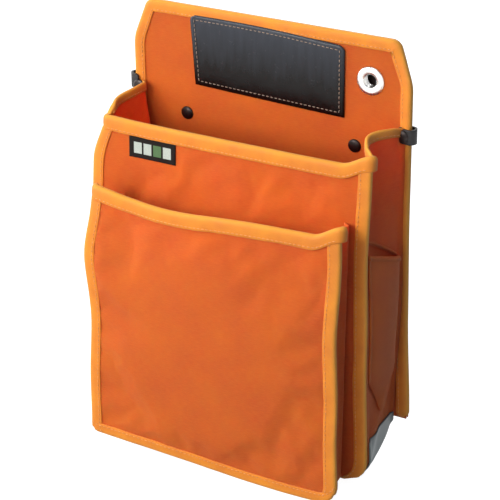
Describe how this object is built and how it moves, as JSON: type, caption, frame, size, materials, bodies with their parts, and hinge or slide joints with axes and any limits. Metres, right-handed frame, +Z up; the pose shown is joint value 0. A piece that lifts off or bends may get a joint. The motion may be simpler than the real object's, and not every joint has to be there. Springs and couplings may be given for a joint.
{
  "type": "electrician tool pouch",
  "caption": "Canvas belt pouch for an electrician: tall stiffened back with a belt tunnel, a deep main pocket, a shallower front pocket and a narrow side pocket, all edges bound with tape.",
  "frame": {"origin": "centre of the belt tunnel behind the back panel", "axes": "+X along the belt towards the side with the eyelet and the side pocket, -Y out of the front, +Z up"},
  "size_m": [0.224, 0.1099, 0.2961],
  "materials": {
    "canvas": "matte",
    "binding_tape": "matte",
    "patch_leather": "gloss",
    "band_leather": "satin",
    "bottom_vinyl": "satin",
    "stiffener_board": "matte",
    "eyelet_metal": "polished",
    "rivet_metal": "satin",
    "tag_weave": "matte"
  },
  "bodies": {
    "back": {"back_binding": "binding_tape", "back_panel_front": "canvas", "back_panel_rear": "canvas", "back_stiffener": "stiffener_board", "band_rivet_left": "rivet_metal", "band_rivet_left_burr": "rivet_metal", "band_rivet_right": "rivet_metal", "band_rivet_right_burr": "rivet_metal", "belt_band": "band_leather", "bottom_reinforcement": "bottom_vinyl", "eyelet": "eyelet_metal", "eyelet_washer": "eyelet_metal", "front_patch": "patch_leather", "gusset_binding_left_rear": "binding_tape", "gusset_binding_right_rear": "binding_tape", "main_floor_lining": "canvas", "main_gusset_left_rear": "canvas", "main_gusset_right_rear": "canvas", "rear_strap": "band_leather", "side_pocket_binding": "binding_tape", "side_pocket_panel": "canvas", "side_rivet_left": "rivet_metal", "side_rivet_left_burr": "rivet_metal", "side_rivet_right": "rivet_metal", "side_rivet_right_burr": "rivet_metal"},
    "main_front": {"gusset_binding_left_front": "binding_tape", "gusset_binding_right_front": "binding_tape", "main_edge_binding_left": "binding_tape", "main_edge_binding_right": "binding_tape", "main_front_panel": "canvas", "main_gusset_left_front": "canvas", "main_gusset_right_front": "canvas", "main_mouth_binding": "binding_tape", "pocket_floor": "canvas", "pocket_gusset_left_rear": "canvas", "pocket_gusset_right_rear": "canvas", "woven_tag": "tag_weave"},
    "pocket_front": {"pocket_bottom_binding": "binding_tape", "pocket_edge_binding_left": "binding_tape", "pocket_edge_binding_right": "binding_tape", "pocket_front_panel": "canvas", "pocket_gusset_left_front": "canvas", "pocket_gusset_right_front": "canvas", "pocket_mouth_binding": "binding_tape"}
  },
  "joints": [
    {"name": "main_mouth", "type": "hinge", "parent": "back", "child": "main_front", "pos_m": [0, -0.0691, -0.252], "axis": [1, 0, 0], "range_deg": [-4, 5]},
    {"name": "front_pocket_mouth", "type": "hinge", "parent": "main_front", "child": "pocket_front", "pos_m": [0, -0.1001, -0.252], "axis": [1, 0, 0], "range_deg": [-3, 5]}
  ]
}
